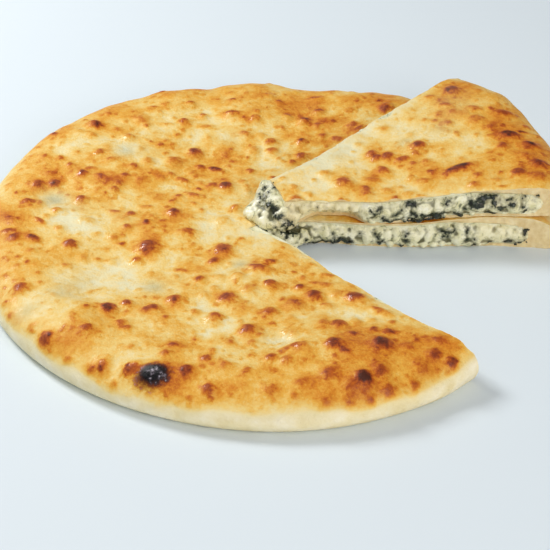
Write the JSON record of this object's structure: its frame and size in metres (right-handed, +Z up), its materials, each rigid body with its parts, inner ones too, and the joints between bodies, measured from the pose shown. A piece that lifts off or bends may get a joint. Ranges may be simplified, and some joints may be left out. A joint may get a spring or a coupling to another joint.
{
  "type": "cheese pie",
  "caption": "Flat round baked pie with a cheese and greens filling; a slice is cut out and lies on the pie beside its gap.",
  "frame": {"origin": "middle of the whole's box, slice included, on the plane the pie stands on", "axes": "+Z up out of the baked top; -Y is the front, and the gap opens between +X and the front right"},
  "size_m": [0.327, 0.3188, 0.0421],
  "materials": {
    "baked_crust": "baked wheat dough: pale golden, with browned blisters and a pale soft rim, slightly buttery",
    "cheese_filling": "moist white cheese curd with chopped dark greens"
  },
  "bodies": {
    "root": {"pie_crust": "baked_crust", "pie_filling": "cheese_filling", "slice_crust": "baked_crust", "slice_filling": "cheese_filling"}
  },
  "joints": []
}
